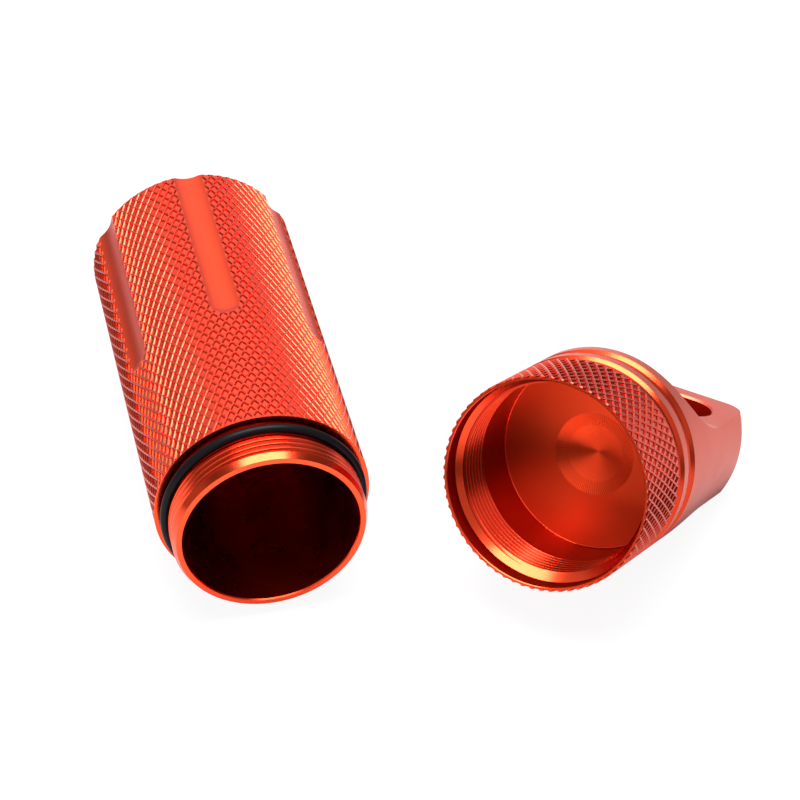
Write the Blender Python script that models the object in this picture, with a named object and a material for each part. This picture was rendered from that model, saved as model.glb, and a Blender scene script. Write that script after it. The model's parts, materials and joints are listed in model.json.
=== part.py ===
"""Waterproof capsule, laid out open: a knurled tube with a threaded neck, its seal ring,
and the screw cap leaning beside it on the rim of its round section and the end of its lug.

Every turned piece is drawn along its own +Z, which is its thread axis. Empties then lay the
pieces down. World frame: +Z up, the floor at zero, the origin under the middle of the whole.
"""

from math import atan2, ceil, cos, pi, radians, sin, tan

import bmesh
import bpy

MM = 0.001

# Outside radius that the tube and the cap share: every round wall is counted inwards from it
BODY_RADIUS = 17.0 * MM

# Tube
TUBE_BODY_LENGTH = 64.8 * MM
TUBE_FLOOR_THICKNESS = 3.0 * MM
NECK_WALL = 1.45 * MM
TUBE_BORE_CORNER_RADIUS = 1.5 * MM
TUBE_END_CHAMFER = 0.5 * MM

# Finger flutes, milled with a ball cutter from the closed end
FLUTE_COUNT = 6
FLUTE_LENGTH = 38.6 * MM
FLUTE_DEPTH = 1.0 * MM
FLUTE_CUTTER_RADIUS = 5.0 * MM

# Thread, on the neck and in the cap
THREAD_PITCH = 1.1 * MM
THREAD_DEPTH = 0.5 * MM
THREAD_ROOT_WIDTH = 0.22 * MM
THREAD_FLANK_ANGLE = radians(31.0)
THREAD_CLEARANCE = 0.1 * MM

# Neck
NECK_LENGTH = 7.6 * MM
NECK_CHAMFER_LENGTH = 1.2 * MM
NECK_CHAMFER_DEPTH = 0.5 * MM
NECK_BORE_CHAMFER = 0.15 * MM

# Seal ring and the groove that holds it beside the tube's shoulder
SEAL_SECTION_RADIUS = 0.75 * MM
SEAL_SEAT_DEPTH = 0.5 * MM
SEAL_CLEARANCE = 0.3 * MM
SEAL_SHOULDER_GAP = 0.6 * MM

# Cap, measured from its mouth
CAP_LENGTH = 45.1 * MM
CAP_END_EDGE_RADIUS = 3.2 * MM
CAP_RIM_WALL = 0.7 * MM
CAP_WALL = 1.5 * MM
CAP_RECESS_DEPTH = 3.05 * MM
CAP_RIM_CHAMFER = 0.12 * MM
CAP_THREAD_END = 11.0 * MM
CAP_RELIEF_DEPTH = 0.1 * MM
CAP_INSIDE_DEPTH = 20.5 * MM
CAP_CONE_RADIUS = 6.65 * MM
CAP_CONE_DEPTH = 1.7 * MM

# Two turned grooves round the cap, with a collar left between them
CAP_GROOVE_STARTS = (13.2 * MM, 17.3 * MM)
CAP_GROOVE_WIDTHS = (2.4 * MM, 2.9 * MM)
CAP_GROOVE_DEPTH = 0.55 * MM
CAP_GROOVE_NEAR_SHARE = 0.10
CAP_GROOVE_FLOOR_SHARE = 0.76

# Lug: two flats milled on the cap, with a slot for a key ring through them
LUG_START = 22.1 * MM
LUG_THICKNESS = 13.9 * MM
LUG_ROOT_RISE = 0.35 * MM
SLOT_END_WALL = 3.1 * MM
SLOT_WIDTH = 9.6 * MM
SLOT_SIDE_WALL = 3.36 * MM
SLOT_CHAMFER = 0.3 * MM

# How the open capsule lies: headings turn from +Y towards +X, where each piece's +Z points
TUBE_HEADING = radians(180.0)
CAP_HEADING = radians(41.1)
CAP_ASIDE = 41.15 * MM
CAP_AHEAD_OF_SHOULDER = 14.25 * MM

# How finely curves are cut into facets, and how far cutters run past what they cut
SEGMENTS = 60
SECTION_SEGMENTS = 10
CORNER_SEGMENTS = 5
SLOT_END_SEGMENTS = 12
ROOT_SEGMENTS = 10
FLUTE_RINGS = 6
FLUTE_SEGMENTS = 24
CUT_OVERRUN = 1.0 * MM
THREAD_OVERRUN = 0.1 * MM
MERGE_DISTANCE = 0.00001 * MM
SHARP_ANGLE = radians(30.0)

# Finishes: linear colour, roughness, metallic
ANODISED_ORANGE = ((0.80, 0.075, 0.018), 0.38, 1.0)
SEAL_BLACK = ((0.012, 0.012, 0.013), 0.45, 0.0)

# Worked out from the sizes above
CAP_RECESS_RADIUS = BODY_RADIUS - CAP_RIM_WALL
CAP_RELIEF_RADIUS = BODY_RADIUS - CAP_WALL
CAP_THREAD_ROOT_RADIUS = CAP_RELIEF_RADIUS - CAP_RELIEF_DEPTH
CAP_THREAD_RADIUS = CAP_THREAD_ROOT_RADIUS - THREAD_DEPTH + THREAD_CLEARANCE / 2.0
NECK_RADIUS = CAP_THREAD_ROOT_RADIUS - THREAD_CLEARANCE
NECK_RIM_RADIUS = NECK_RADIUS - NECK_CHAMFER_DEPTH
TUBE_BORE_RADIUS = NECK_RADIUS - NECK_WALL
SEAL_INNER_RADIUS = NECK_RADIUS - SEAL_SEAT_DEPTH
GLAND_RADIUS = SEAL_INNER_RADIUS - SEAL_CLEARANCE
GLAND_LENGTH = SEAL_SHOULDER_GAP + 2.0 * SEAL_SECTION_RADIUS + SEAL_CLEARANCE
LUG_HALF = LUG_THICKNESS / 2.0
LUG_ROOT_RADIUS = BODY_RADIUS + LUG_ROOT_RISE - LUG_HALF
LUG_HALF_WIDTH = (BODY_RADIUS**2 - LUG_HALF**2)**0.5
SLOT_LENGTH = 2.0 * (LUG_HALF_WIDTH - SLOT_SIDE_WALL)
SLOT_MIDDLE = CAP_LENGTH - SLOT_END_WALL - SLOT_WIDTH / 2.0
CAP_LEAN = atan2(BODY_RADIUS - LUG_HALF, CAP_LENGTH - LUG_START)
CAP_MOUTH_HEIGHT = BODY_RADIUS * cos(CAP_LEAN) + LUG_START * sin(CAP_LEAN)


def clear_scene():
    """Remove whatever the file holds."""
    for item in list(bpy.data.objects):
        bpy.data.objects.remove(item, do_unlink=True)


def finish_material(name, finish):
    """A plain surface of one colour, roughness and metallic value."""
    colour, roughness, metallic = finish
    material = bpy.data.materials.new(name)
    material.use_nodes = True
    shader = material.node_tree.nodes["Principled BSDF"]
    shader.inputs["Base Color"].default_value = (*colour, 1.0)
    shader.inputs["Roughness"].default_value = roughness
    shader.inputs["Metallic"].default_value = metallic
    return material


def arc(centre, radius, start, end, steps):
    """Points of an arc in a profile's plane, as (distance from axis, place along axis)."""
    angles = [start + (end - start) * step / steps for step in range(steps + 1)]
    return [(centre[0] + radius * cos(angle), centre[1] + radius * sin(angle)) for angle in angles]


def object_from_bmesh(name, mesh_data):
    """Close up a bmesh as an object whose faces point out."""
    bmesh.ops.recalc_face_normals(mesh_data, faces=mesh_data.faces)
    mesh = bpy.data.meshes.new(name)
    mesh_data.to_mesh(mesh)
    mesh_data.free()
    item = bpy.data.objects.new(name, mesh)
    bpy.context.collection.objects.link(item)
    return item


def turned(name, profile, closed=False):
    """Turn a profile of (radius, height) points about +Z.

    An open profile starts and ends on the axis, and a closed one goes round a ring's section.
    """
    mesh_data = bmesh.new()
    verts = [mesh_data.verts.new((radius, 0.0, height)) for radius, height in profile]
    edges = [mesh_data.edges.new(pair) for pair in zip(verts, verts[1:])]
    if closed:
        edges.append(mesh_data.edges.new((verts[-1], verts[0])))
    bmesh.ops.spin(mesh_data, geom=verts + edges, cent=(0.0, 0.0, 0.0), axis=(0.0, 0.0, 1.0),
                   angle=2.0 * pi, steps=SEGMENTS, use_merge=True)
    bmesh.ops.remove_doubles(mesh_data, verts=mesh_data.verts, dist=MERGE_DISTANCE)
    return object_from_bmesh(name, mesh_data)


def lofted(name, rings):
    """A solid through rings of as many points each, with a flat face over each end."""
    mesh_data = bmesh.new()
    rings = [[mesh_data.verts.new(point) for point in ring] for ring in rings]
    count = len(rings[0])
    for ring, following in zip(rings, rings[1:]):
        for corner in range(count):
            after = (corner + 1) % count
            mesh_data.faces.new((ring[corner], ring[after], following[after], following[corner]))
    mesh_data.faces.new(rings[0])
    mesh_data.faces.new(rings[-1])
    return object_from_bmesh(name, mesh_data)


def thread_groove(name, root_radius, open_radius, start, end):
    """The helical cutter between two turns of thread, narrow at its root, wide where it opens."""
    depth = abs(open_radius - root_radius)
    root_half = THREAD_ROOT_WIDTH / 2.0
    open_half = root_half + depth * tan(THREAD_FLANK_ANGLE)
    section = ((root_radius, -root_half), (open_radius, -open_half),
               (open_radius, open_half), (root_radius, root_half))
    rings = []
    for step in range(ceil((end - start) / THREAD_PITCH * SEGMENTS) + 1):
        angle = 2.0 * pi * step / SEGMENTS
        climb = start + THREAD_PITCH * step / SEGMENTS
        rings.append([(radius * cos(angle), radius * sin(angle), climb + rise)
                      for radius, rise in section])
    return lofted(name, rings)


def cut(piece, cutter):
    """Take a cutter out of a piece, and keep the cutter only as a guide."""
    cutter.hide_render = True
    cutter.display_type = "WIRE"
    cutter.parent = piece
    modifier = piece.modifiers.new(cutter.name, "BOOLEAN")
    modifier.operation = "DIFFERENCE"
    modifier.solver = "EXACT"
    modifier.object = cutter


def dress(piece, material):
    """Give a piece its material and smooth shading broken at its edges."""
    piece.data.materials.append(material)
    piece.data.shade_smooth()
    piece.data.set_sharp_from_angle(angle=SHARP_ANGLE)


def tube_profile():
    """The tube's section: closed end, outside, gland, neck, bore and bore floor."""
    end = -TUBE_BODY_LENGTH
    bore_floor = end + TUBE_FLOOR_THICKNESS
    corner = (TUBE_BORE_RADIUS - TUBE_BORE_CORNER_RADIUS, bore_floor + TUBE_BORE_CORNER_RADIUS)
    outside = [
        (0.0, end),
        (BODY_RADIUS - TUBE_END_CHAMFER, end),
        (BODY_RADIUS, end + TUBE_END_CHAMFER),
        (BODY_RADIUS, 0.0),
        (GLAND_RADIUS, 0.0),
        (GLAND_RADIUS, GLAND_LENGTH),
        (NECK_RADIUS, GLAND_LENGTH),
        (NECK_RADIUS, NECK_LENGTH - NECK_CHAMFER_LENGTH),
        (NECK_RIM_RADIUS, NECK_LENGTH),
        (TUBE_BORE_RADIUS + NECK_BORE_CHAMFER, NECK_LENGTH),
        (TUBE_BORE_RADIUS, NECK_LENGTH - NECK_BORE_CHAMFER),
    ]
    bore_corner = arc(corner, TUBE_BORE_CORNER_RADIUS, 0.0, -pi / 2.0, CORNER_SEGMENTS)
    return outside + bore_corner + [(0.0, bore_floor)]


def flute_cutter(name, turn):
    """A ball-ended milling cut along the tube, from past its closed end to the flute's tip."""
    centre_radius = BODY_RADIUS - FLUTE_DEPTH + FLUTE_CUTTER_RADIUS
    tip_reach = (FLUTE_CUTTER_RADIUS**2 - (FLUTE_CUTTER_RADIUS - FLUTE_DEPTH)**2)**0.5
    ball_height = -TUBE_BODY_LENGTH + FLUTE_LENGTH - tip_reach
    sections = [(FLUTE_CUTTER_RADIUS, -TUBE_BODY_LENGTH - CUT_OVERRUN)]
    for ring in range(FLUTE_RINGS):
        rise = pi / 2.0 * ring / FLUTE_RINGS
        sections.append((FLUTE_CUTTER_RADIUS * cos(rise),
                         ball_height + FLUTE_CUTTER_RADIUS * sin(rise)))
    angles = [2.0 * pi * step / FLUTE_SEGMENTS for step in range(FLUTE_SEGMENTS)]
    cutter = lofted(name, [[(centre_radius + radius * cos(angle), radius * sin(angle), height)
                            for angle in angles] for radius, height in sections])
    cutter.rotation_euler = (0.0, 0.0, turn)
    return cutter


def build_tube(material):
    """The knurled body and its threaded neck, one machined piece."""
    tube = turned("capsule_tube", tube_profile())
    for flute in range(FLUTE_COUNT):
        cut(tube, flute_cutter(f"flute_cut_{flute + 1}", 2.0 * pi * flute / FLUTE_COUNT))
    half_groove = THREAD_PITCH / 2.0
    groove = thread_groove("neck_thread_cut", NECK_RADIUS - THREAD_DEPTH,
                           NECK_RADIUS + THREAD_OVERRUN, GLAND_LENGTH - half_groove,
                           NECK_LENGTH + half_groove)
    cut(tube, groove)
    dress(tube, material)
    return tube


def build_seal(material):
    """The rubber ring in the gland at the foot of the neck."""
    middle = (SEAL_INNER_RADIUS + SEAL_SECTION_RADIUS, SEAL_SHOULDER_GAP + SEAL_SECTION_RADIUS)
    section = arc(middle, SEAL_SECTION_RADIUS, 0.0, 2.0 * pi, SECTION_SEGMENTS)[:-1]
    seal = turned("seal_ring", section, closed=True)
    dress(seal, material)
    return seal


def groove_profile(start, width):
    """One groove round the cap: a steep near wall, a wide flat floor and a sloping far wall."""
    floor_radius = BODY_RADIUS - CAP_GROOVE_DEPTH
    return [
        (BODY_RADIUS, start + width),
        (floor_radius, start + width * CAP_GROOVE_FLOOR_SHARE),
        (floor_radius, start + width * CAP_GROOVE_NEAR_SHARE),
        (BODY_RADIUS, start),
    ]


def cap_profile():
    """The cap's section: end, outside with its grooves, rim, recess, bore and coned floor."""
    edge = (BODY_RADIUS - CAP_END_EDGE_RADIUS, CAP_LENGTH - CAP_END_EDGE_RADIUS)
    profile = [(0.0, CAP_LENGTH)]
    profile += arc(edge, CAP_END_EDGE_RADIUS, pi / 2.0, 0.0, CORNER_SEGMENTS)
    for start, width in sorted(zip(CAP_GROOVE_STARTS, CAP_GROOVE_WIDTHS), reverse=True):
        profile += groove_profile(start, width)
    recess_slope = CAP_RECESS_RADIUS - CAP_THREAD_RADIUS
    profile += [
        (BODY_RADIUS, CAP_RIM_CHAMFER),
        (BODY_RADIUS - CAP_RIM_CHAMFER, 0.0),
        (CAP_RECESS_RADIUS + CAP_RIM_CHAMFER, 0.0),
        (CAP_RECESS_RADIUS, CAP_RIM_CHAMFER),
        (CAP_RECESS_RADIUS, CAP_RECESS_DEPTH),
        (CAP_THREAD_RADIUS, CAP_RECESS_DEPTH + recess_slope),
        (CAP_THREAD_RADIUS, CAP_THREAD_END),
        (CAP_RELIEF_RADIUS, CAP_THREAD_END),
        (CAP_RELIEF_RADIUS, CAP_INSIDE_DEPTH),
        (CAP_CONE_RADIUS, CAP_INSIDE_DEPTH),
        (0.0, CAP_INSIDE_DEPTH + CAP_CONE_DEPTH),
    ]
    return profile


def lug_side_cutter(name, side):
    """Mills one flat of the lug, with a round root where it climbs to the cap's full diameter."""
    reach = LUG_HALF + LUG_ROOT_RADIUS + CUT_OVERRUN
    flat_start = LUG_START + LUG_ROOT_RADIUS
    root = [(LUG_HALF + LUG_ROOT_RADIUS * (1.0 - cos(angle)), flat_start - LUG_ROOT_RADIUS * sin(angle))
            for angle in [pi / 2.0 * step / ROOT_SEGMENTS for step in range(ROOT_SEGMENTS + 1)]]
    outline = [(LUG_HALF, CAP_LENGTH + CUT_OVERRUN)] + root
    outline += [(reach, LUG_START), (reach, CAP_LENGTH + CUT_OVERRUN)]
    return lofted(name, [[(side * out, across, along) for out, along in outline]
                         for across in (-reach, reach)])


def slot_outline(growth):
    """The key-ring slot across the lug: a long hole with round ends, widened by growth."""
    radius = SLOT_WIDTH / 2.0
    centre = SLOT_LENGTH / 2.0 - radius
    right = arc((centre, SLOT_MIDDLE), radius + growth, -pi / 2.0, pi / 2.0, SLOT_END_SEGMENTS)
    left = arc((-centre, SLOT_MIDDLE), radius + growth, pi / 2.0, 1.5 * pi, SLOT_END_SEGMENTS)
    return right + left


def slot_cutter(name):
    """The slot's straight walls and the chamfer round each of its mouths."""
    outer = LUG_HALF + CUT_OVERRUN
    inner = LUG_HALF - SLOT_CHAMFER
    levels = ((-outer, SLOT_CHAMFER + CUT_OVERRUN), (-inner, 0.0), (inner, 0.0),
              (outer, SLOT_CHAMFER + CUT_OVERRUN))
    return lofted(name, [[(level, side, along) for side, along in slot_outline(growth)]
                         for level, growth in levels])


def build_cap(material):
    """The screw cap and its key-ring lug, one machined piece."""
    cap = turned("screw_cap", cap_profile())
    cut(cap, lug_side_cutter("lug_flat_cut_upper", 1.0))
    cut(cap, lug_side_cutter("lug_flat_cut_lower", -1.0))
    cut(cap, slot_cutter("slot_cut"))
    half_groove = THREAD_PITCH / 2.0
    groove = thread_groove("cap_thread_cut", CAP_THREAD_ROOT_RADIUS,
                           CAP_THREAD_RADIUS - THREAD_OVERRUN, CAP_RECESS_DEPTH - half_groove,
                           CAP_THREAD_END + half_groove)
    cut(cap, groove)
    dress(cap, material)
    return cap


def placed_empty(name, parent, place, heading, lean):
    """An empty at a place, its +Z laid along a heading and dipped by a lean, its +X upwards."""
    empty = bpy.data.objects.new(name, None)
    bpy.context.collection.objects.link(empty)
    empty.parent = parent
    empty.location = place
    empty.rotation_euler = (0.0, -(pi / 2.0 + lean), -(pi / 2.0 + heading))
    return empty


def centre_over_origin(layout, pieces):
    """Slide the layout so that the middle of all its pieces stands over the origin."""
    bpy.context.view_layer.update()
    view = bpy.context.evaluated_depsgraph_get()
    points = []
    for piece in pieces:
        solid = piece.evaluated_get(view)
        points += [solid.matrix_world @ vert.co for vert in solid.data.vertices]
    for axis in (0, 1):
        values = [point[axis] for point in points]
        layout.location[axis] -= (min(values) + max(values)) / 2.0


def main():
    """Build the three pieces and lay them out as an opened capsule."""
    clear_scene()
    tube = build_tube(finish_material("tube_anodised", ANODISED_ORANGE))
    seal = build_seal(finish_material("seal_rubber", SEAL_BLACK))
    cap = build_cap(finish_material("cap_anodised", ANODISED_ORANGE))
    layout = bpy.data.objects.new("laid_out", None)
    bpy.context.collection.objects.link(layout)
    tube_axis = placed_empty("tube_axis", layout, (0.0, 0.0, BODY_RADIUS), TUBE_HEADING, 0.0)
    cap_place = (CAP_ASIDE, -CAP_AHEAD_OF_SHOULDER, CAP_MOUTH_HEIGHT)
    cap_axis = placed_empty("cap_axis", layout, cap_place, CAP_HEADING, CAP_LEAN)
    tube.parent = tube_axis
    seal.parent = tube_axis
    cap.parent = cap_axis
    centre_over_origin(layout, (tube, seal, cap))


main()
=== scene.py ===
"""Looks of the waterproof capsule, laid out open: knurled tube, seal ring and screw cap.

Each piece is made along its own +Z, the axis of its thread, with +X upwards as it lies, and its
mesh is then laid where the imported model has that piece.
"""

import json
from collections import namedtuple
from math import atan2, ceil, cos, pi, radians, sin, tan

import bmesh
import bpy
from mathutils import Matrix, Vector


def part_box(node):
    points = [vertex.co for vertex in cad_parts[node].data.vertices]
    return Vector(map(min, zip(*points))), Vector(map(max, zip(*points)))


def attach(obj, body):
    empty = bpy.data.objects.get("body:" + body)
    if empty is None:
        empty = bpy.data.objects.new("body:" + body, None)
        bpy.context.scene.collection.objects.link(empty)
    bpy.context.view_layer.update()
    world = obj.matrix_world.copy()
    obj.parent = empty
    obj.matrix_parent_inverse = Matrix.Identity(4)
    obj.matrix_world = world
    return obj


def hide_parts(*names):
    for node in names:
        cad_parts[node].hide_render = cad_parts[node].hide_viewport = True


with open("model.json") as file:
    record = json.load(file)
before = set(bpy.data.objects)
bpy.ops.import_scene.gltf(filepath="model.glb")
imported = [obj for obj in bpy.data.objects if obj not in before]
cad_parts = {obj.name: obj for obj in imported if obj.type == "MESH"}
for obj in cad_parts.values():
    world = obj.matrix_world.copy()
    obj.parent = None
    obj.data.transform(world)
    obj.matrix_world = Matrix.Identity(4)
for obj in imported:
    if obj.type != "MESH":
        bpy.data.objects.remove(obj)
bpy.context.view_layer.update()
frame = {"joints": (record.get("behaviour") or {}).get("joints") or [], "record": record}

MM = 0.001

# Body
BODY_RADIUS = 17.0 * MM
TUBE_BODY_LENGTH = 64.8 * MM
TUBE_FLOOR_THICKNESS = 3.0 * MM
TUBE_BORE_RADIUS = 13.85 * MM
TUBE_BORE_CORNER_RADIUS = 1.5 * MM
TUBE_END_CHAMFER = 0.5 * MM
SHOULDER_CHAMFER = 0.06 * MM
SHOULDER_RIM_LENGTH = 0.16 * MM
SHOULDER_RIM_DEPTH = 0.02 * MM

# Knurl: rows of diamond pits between two crossing families of narrow ridges
KNURL_PITS_AROUND = 67
KNURL_PIT_LENGTH = 2.65 * MM
KNURL_DEPTH = 0.26 * MM
KNURL_CROWN_SHARE = 0.92
KNURL_BEVEL_SHARE = 0.73
KNURL_FLOOR_SHARE = 0.62
KNURL_CROWN_HEIGHT_SHARE = 0.95
KNURL_WALL_HEIGHT_SHARE = 0.52
KNURL_SKEW_SHARE = 0.012
KNURL_SPARE_ROWS = 3

# Flutes
FLUTE_COUNT = 6
FLUTE_LENGTH = 38.6 * MM
FLUTE_DEPTH = 1.0 * MM
FLUTE_CUTTER_RADIUS = 5.0 * MM

# Threads
THREAD_PITCH = 1.1 * MM
THREAD_DEPTH = 0.5 * MM
THREAD_ROOT_WIDTH = 0.22 * MM
THREAD_FLANK_ANGLE = radians(31.0)
THREAD_CLEARANCE = 0.1 * MM
THREAD_EDGE = 0.04 * MM

# Neck
NECK_LENGTH = 7.6 * MM
NECK_RADIUS = 15.3 * MM
NECK_CHAMFER_LENGTH = 1.2 * MM
NECK_CHAMFER_DEPTH = 0.5 * MM
BORE_RIM_LENGTH = 0.2 * MM
BORE_RIM_DEPTH = 0.12 * MM
NECK_START_CHAMFER = 0.3 * MM
NECK_THREAD_SHIFT = 0.2 * MM

# Seal ring
SEAL_SECTION_RADIUS = 0.75 * MM
SEAL_INNER_RADIUS = 14.8 * MM
SEAL_CLEARANCE = 0.3 * MM
SEAL_SHOULDER_GAP = 0.6 * MM

# Cap, measured from its mouth
CAP_LENGTH = 45.1 * MM
CAP_END_EDGE_RADIUS = 3.2 * MM
CAP_RECESS_RADIUS = 16.3 * MM
CAP_RECESS_DEPTH = 3.05 * MM
CAP_RIM_CHAMFER = 0.12 * MM
CAP_THREAD_ROOT_RADIUS = 15.4 * MM
CAP_THREAD_END = 11.0 * MM
CAP_RELIEF_RADIUS = 15.5 * MM
CAP_INSIDE_DEPTH = 20.5 * MM
CAP_INSIDE_CORNER = 0.2 * MM
CAP_CONE_RADIUS = 6.65 * MM
CAP_CONE_DEPTH = 1.7 * MM
CAP_GROOVE_STARTS = (13.2 * MM, 17.3 * MM)
CAP_GROOVE_WIDTHS = (2.4 * MM, 2.9 * MM)
CAP_GROOVE_DEPTH = 0.55 * MM
CAP_GROOVE_NEAR_SHARE = 0.10
CAP_GROOVE_FLOOR_SHARE = 0.76
LUG_START = 22.1 * MM
LUG_THICKNESS = 13.9 * MM
LUG_ROOT_RADIUS = 10.4 * MM
SLOT_END_WALL = 3.1 * MM
SLOT_WIDTH = 9.6 * MM
SLOT_SIDE_WALL = 3.36 * MM
SLOT_CHAMFER = 0.3 * MM

# Fineness, broken edges and the cutters' overrun
SEGMENTS = 240
EDGE_RADIUS = 0.05 * MM
EDGE_STEPS = 5
CORNER_SEGMENTS = 16
FLUTE_RINGS = 16
FLUTE_SEGMENTS = 96
SLOT_END_SEGMENTS = 32
ROOT_SEGMENTS = 48
SEAL_SEGMENTS = 32
OVERRUN = 2.0 * MM
MERGE_DISTANCE = 0.002 * MM
EASED_ANGLE = radians(12.0)
EASED_REACH_SHARE = 0.4
SHARP_ANGLE = radians(26.0)

# Worked out from the sizes above
GLAND_RADIUS = SEAL_INNER_RADIUS - SEAL_CLEARANCE
GLAND_LENGTH = SEAL_SHOULDER_GAP + 2.0 * SEAL_SECTION_RADIUS + SEAL_CLEARANCE
CAP_THREAD_RADIUS = CAP_THREAD_ROOT_RADIUS - THREAD_DEPTH + THREAD_CLEARANCE / 2.0
LUG_HALF = LUG_THICKNESS / 2.0
SLOT_LENGTH = 2.0 * ((BODY_RADIUS**2 - LUG_HALF**2)**0.5 - SLOT_SIDE_WALL)
SLOT_MIDDLE = CAP_LENGTH - SLOT_END_WALL - SLOT_WIDTH / 2.0

# The finishes, in the order of every machined piece's material slots, the seal ring's only one,
# and their materials for the piece that is being made
# The knurl pits' walls, the bores and the lug's slot get darker reds, which are painted shade
KNURL, SHADED_WALL, SATIN, FLUTE, TURNED, THREAD, BORE, CONE, SLOT, FACED = range(10)
RUBBER = 0
finishes = []

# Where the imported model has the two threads' axes

def laid(place, upwards, along):
    """The matrix that lays a piece's +X upwards and its +Z along its thread's axis."""
    across = along.cross(upwards)
    turn = Matrix((upwards, across, along)).transposed().to_4x4()
    return Matrix.Translation(place) @ turn


def tube_lay():
    """The tube's shoulder: its mouth points to -Y, and a flute is on top."""
    low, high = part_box("capsule_tube")
    place = Vector(((low.x + high.x) / 2.0, low.y + NECK_LENGTH, BODY_RADIUS))
    return laid(place, Vector((0.0, 0.0, 1.0)), Vector((0.0, -1.0, 0.0)))


def cap_lay():
    """The cap's mouth, on the joint's axis, with the lug's flat facing up."""
    joint = frame["joints"][0]
    mounts = {mount["name"]: mount for mount in frame["record"]["mounts"]}
    upwards = Vector(mounts["lug_flat"]["axis"]).normalized()
    return laid(Vector(joint["pos_m"]), upwards, Vector(joint["axis"]).normalized())


# Solids

def solid(name, points, faces, finish):
    """A closed mesh whose faces point out, all in one finish."""
    mesh_data = bmesh.new()
    verts = [mesh_data.verts.new(point) for point in points]
    for face in faces:
        mesh_data.faces.new([verts[corner] for corner in face])
    bmesh.ops.recalc_face_normals(mesh_data, faces=mesh_data.faces)
    mesh = bpy.data.meshes.new(name)
    mesh_data.to_mesh(mesh)
    mesh_data.free()
    for material in finishes:
        mesh.materials.append(material)
    mesh.polygons.foreach_set("material_index", [finish] * len(mesh.polygons))
    item = bpy.data.objects.new(name, mesh)
    bpy.context.scene.collection.objects.link(item)
    return item


def lofted(name, rings, finish=SATIN):
    """A solid through rings of as many points each, with a flat face over each end."""
    count = len(rings[0])
    points = [point for ring in rings for point in ring]
    faces = []
    for ring in range(len(rings) - 1):
        for corner in range(count):
            after = (corner + 1) % count
            faces.append((ring * count + corner, ring * count + after,
                          (ring + 1) * count + after, (ring + 1) * count + corner))
    faces.append(tuple(range(count)))
    faces.append(tuple(range(len(points) - count, len(points))))
    return solid(name, points, faces, finish)


def arc(centre, radius, start, end, steps):
    """Points of an arc, as (distance from the axis, place along it)."""
    angles = [start + (end - start) * step / steps for step in range(steps + 1)]
    return [(centre[0] + radius * cos(angle), centre[1] + radius * sin(angle)) for angle in angles]


def eased(profile, radius=EDGE_RADIUS):
    """A profile with each of its sharp corners broken by a small curve."""
    points = [profile[0]]
    for before, corner, after in zip(profile, profile[1:], profile[2:]):
        middle = Vector(corner)
        back = Vector(before) - middle
        ahead = Vector(after) - middle
        reach = min(radius, EASED_REACH_SHARE * back.length, EASED_REACH_SHARE * ahead.length)
        if back.angle(-ahead) < EASED_ANGLE or reach == 0.0:
            points.append(corner)
            continue
        start = middle + back.normalized() * reach
        end = middle + ahead.normalized() * reach
        for step in range(EDGE_STEPS + 1):
            share = step / EDGE_STEPS
            point = start * (1 - share)**2 + middle * 2 * share * (1 - share) + end * share**2
            points.append(tuple(point))
    return points + [profile[-1]]


def turned(name, profile, closed=False, finish=TURNED):
    """Turn a profile about +Z: an open one starts and ends on the axis."""
    points = []
    starts = []
    for radius, height in profile:
        starts.append(len(points))
        if radius == 0.0:
            points.append((0.0, 0.0, height))
            continue
        for step in range(SEGMENTS):
            angle = 2.0 * pi * step / SEGMENTS
            points.append((radius * cos(angle), radius * sin(angle), height))
    faces = []
    joins = list(zip(range(len(profile)), range(1, len(profile))))
    if closed:
        joins.append((len(profile) - 1, 0))
    for low, high in joins:
        for step in range(SEGMENTS):
            after = (step + 1) % SEGMENTS
            corners = []
            for row, columns in ((low, (step, after)), (high, (after, step))):
                if profile[row][0] == 0.0:
                    corners.append(starts[row])
                else:
                    corners += [starts[row] + column for column in columns]
            faces.append(corners)
    return solid(name, points, faces, finish)


def refinished(piece, finish, low, high):
    """Give the faces between two heights another finish."""
    for face in piece.data.polygons:
        if low < face.center.z < high:
            face.material_index = finish
    return piece


def thread_section(crest_radius, root_radius):
    """One turn of thread, as (place along the pitch, radius), with its corners broken."""
    flank = (crest_radius - root_radius) * tan(THREAD_FLANK_ANGLE)
    crest = THREAD_PITCH - THREAD_ROOT_WIDTH - 2.0 * flank
    corners = [(0.0, crest_radius), (crest, crest_radius), (crest + flank, root_radius),
               (crest + flank + THREAD_ROOT_WIDTH, root_radius)]
    ring = [(corners[-1][0] - THREAD_PITCH, root_radius)] + corners + [(THREAD_PITCH, crest_radius)]
    return eased(ring, THREAD_EDGE)[1:-1]


def threaded_rod(name, section, start, end):
    """A right-handed thread carried round and up a rod without a break, with a cone on each end."""
    rows = len(section)
    last = rows * ceil((end - start) / THREAD_PITCH)
    points = []
    for row in range(last + 1):
        rise, radius = section[row % rows]
        for step in range(SEGMENTS):
            angle = 2.0 * pi * step / SEGMENTS
            height = start + rise + THREAD_PITCH * (row // rows + step / SEGMENTS)
            points.append((radius * cos(angle), radius * sin(angle), height))
    faces = []
    for row in range(last):
        for step in range(SEGMENTS - 1):
            here = row * SEGMENTS + step
            faces.append((here, here + 1, here + 1 + SEGMENTS, here + SEGMENTS))
        if row + 1 + rows <= last:
            here = row * SEGMENTS + SEGMENTS - 1
            after = (row + rows) * SEGMENTS
            faces.append((here, after, after + SEGMENTS, here + SEGMENTS))
    lower = list(range(SEGMENTS)) + [row * SEGMENTS for row in range(rows, 0, -1)]
    upper = [last * SEGMENTS + step for step in range(SEGMENTS)]
    upper += [(last - row) * SEGMENTS + SEGMENTS - 1 for row in range(1, rows + 1)]
    for loop, height in ((lower, start - THREAD_PITCH), (upper, end + 2.0 * THREAD_PITCH)):
        tip = len(points)
        points.append((0.0, 0.0, height))
        faces += [(loop[at], loop[(at + 1) % len(loop)], tip) for at in range(len(loop))]
    return solid(name, points, faces, THREAD)


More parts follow.
